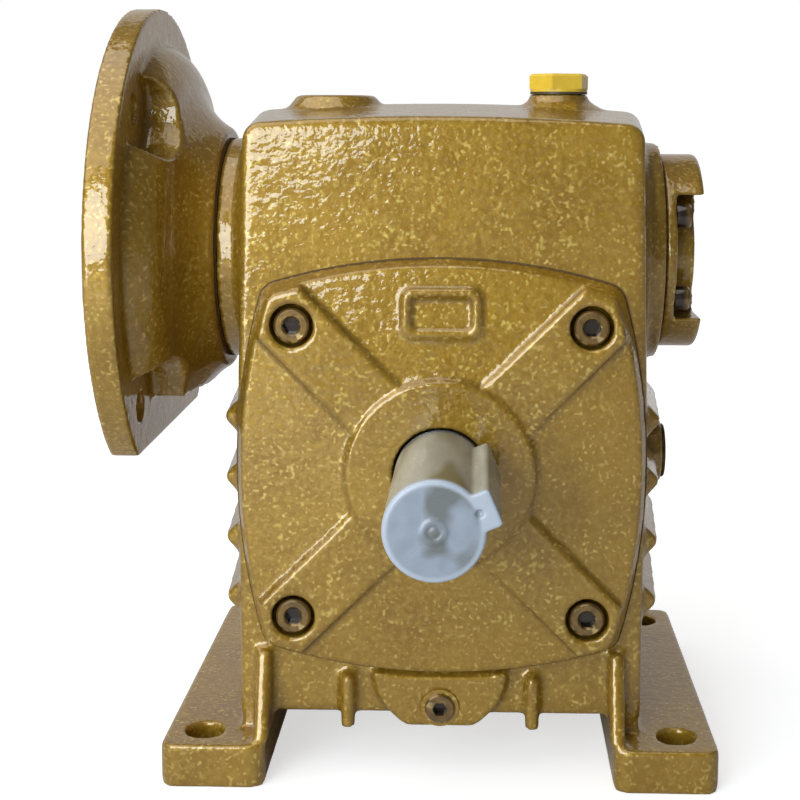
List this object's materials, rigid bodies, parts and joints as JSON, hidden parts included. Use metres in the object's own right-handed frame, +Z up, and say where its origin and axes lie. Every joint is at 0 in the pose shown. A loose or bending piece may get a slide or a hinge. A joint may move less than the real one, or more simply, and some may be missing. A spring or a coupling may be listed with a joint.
{
  "type": "worm gearbox",
  "caption": "Foot-mounted worm reducer with a ribbed cast housing, round motor flange and a solid output shaft under a pull-off cap.",
  "frame": {"origin": "centre of the foot bolt pattern, on the plane the feet stand on", "axes": "+Z up, -Y along the output shaft towards its free end, -X along the worm towards the motor flange"},
  "size_m": [0.24, 0.2582, 0.304],
  "materials": {
    "gold_paint": "hammered metallic gold paint on cast iron",
    "gasket": "flat pressed fibre gasket, dark",
    "seal_rubber": "moulded nitrile rubber, matt",
    "screw_steel": "zinc plated socket screws, partly over-painted",
    "yellow_plastic": "bright yellow moulded plastic",
    "washer": "black sealing washer",
    "sight_ring": "turned brass ring",
    "sight_glass": "clear glass over oil",
    "ground_steel": "ground carbon steel",
    "bearing_steel": "polished bearing steel",
    "pressed_steel": "pressed steel cage",
    "cast_iron": "machined cast iron",
    "bronze": "cut tin bronze",
    "cap_plastic": "milky translucent polyethylene"
  },
  "bodies": {
    "casing": {"drain_plug": "screw_steel", "drain_plug_washer": "washer", "end_bearing_outer_ring": "bearing_steel", "end_cover_gasket": "gasket", "end_cover_screws": "screw_steel", "end_cover_shim": "ground_steel", "front_bearing_outer_ring": "bearing_steel", "front_cover": "gold_paint", "front_cover_gasket": "gasket", "front_cover_screws": "screw_steel", "housing": "gold_paint", "input_bearing_outer_ring": "bearing_steel", "input_oil_seal": "seal_rubber", "level_sight_ring": "sight_ring", "level_sight_window": "sight_glass", "motor_flange": "gold_paint", "motor_flange_gasket": "gasket", "motor_flange_screws": "screw_steel", "output_oil_seal": "seal_rubber", "rear_bearing_outer_ring": "bearing_steel", "rear_cover": "gold_paint", "rear_cover_gasket": "gasket", "rear_cover_screws": "screw_steel", "vent_plug": "yellow_plastic", "vent_plug_washer": "washer", "worm_end_cover": "gold_paint"},
    "output": {"output_shaft": "ground_steel", "wheel_hub": "cast_iron", "wheel_rim": "bronze", "rim_lock_screws": "screw_steel", "wheel_key": "ground_steel", "output_key": "ground_steel", "front_bearing_inner_ring": "bearing_steel", "rear_bearing_inner_ring": "bearing_steel", "spacer_sleeve": "ground_steel"},
    "worm": {"worm_shaft": "ground_steel", "input_bearing_inner_ring": "bearing_steel", "end_bearing_inner_ring": "bearing_steel", "end_circlip": "ground_steel"},
    "front_bearing_set": {"front_bearing_balls": "bearing_steel", "front_bearing_cage": "pressed_steel"},
    "rear_bearing_set": {"rear_bearing_balls": "bearing_steel", "rear_bearing_cage": "pressed_steel"},
    "input_bearing_set": {"input_bearing_balls": "bearing_steel", "input_bearing_cage": "pressed_steel"},
    "end_bearing_set": {"end_bearing_balls": "bearing_steel", "end_bearing_cage": "pressed_steel"},
    "cap": {"shaft_cap": "cap_plastic"}
  },
  "joints": [
    {"name": "output_spin", "type": "hinge", "parent": "casing", "child": "output", "pos_m": [0, 0, 0.124], "axis": [0, 1, 0], "continuous": true},
    {"name": "worm_spin", "type": "hinge", "parent": "casing", "child": "worm", "pos_m": [0, 0, 0.204], "axis": [1, 0, 0], "continuous": true},
    {"name": "front_cage_spin", "type": "hinge", "parent": "casing", "child": "front_bearing_set", "pos_m": [0, -0.053, 0.124], "axis": [0, 1, 0], "continuous": true},
    {"name": "rear_cage_spin", "type": "hinge", "parent": "casing", "child": "rear_bearing_set", "pos_m": [0, 0.053, 0.124], "axis": [0, 1, 0], "continuous": true},
    {"name": "input_cage_spin", "type": "hinge", "parent": "casing", "child": "input_bearing_set", "pos_m": [-0.0685, 0, 0.204], "axis": [1, 0, 0], "continuous": true},
    {"name": "end_cage_spin", "type": "hinge", "parent": "casing", "child": "end_bearing_set", "pos_m": [0.068, 0, 0.204], "axis": [1, 0, 0], "continuous": true},
    {"name": "cap_slide", "type": "slide", "parent": "output", "child": "cap", "axis": [0, -1, 0], "range_m": [0, 0.085]}
  ],
  "couplings": [
    {"joint": "worm_spin", "follows": "output_spin", "ratio": -30},
    {"joint": "front_cage_spin", "follows": "output_spin", "ratio": 0.4},
    {"joint": "rear_cage_spin", "follows": "output_spin", "ratio": 0.4},
    {"joint": "input_cage_spin", "follows": "output_spin", "ratio": -12.8},
    {"joint": "end_cage_spin", "follows": "output_spin", "ratio": -11.9}
  ]
}
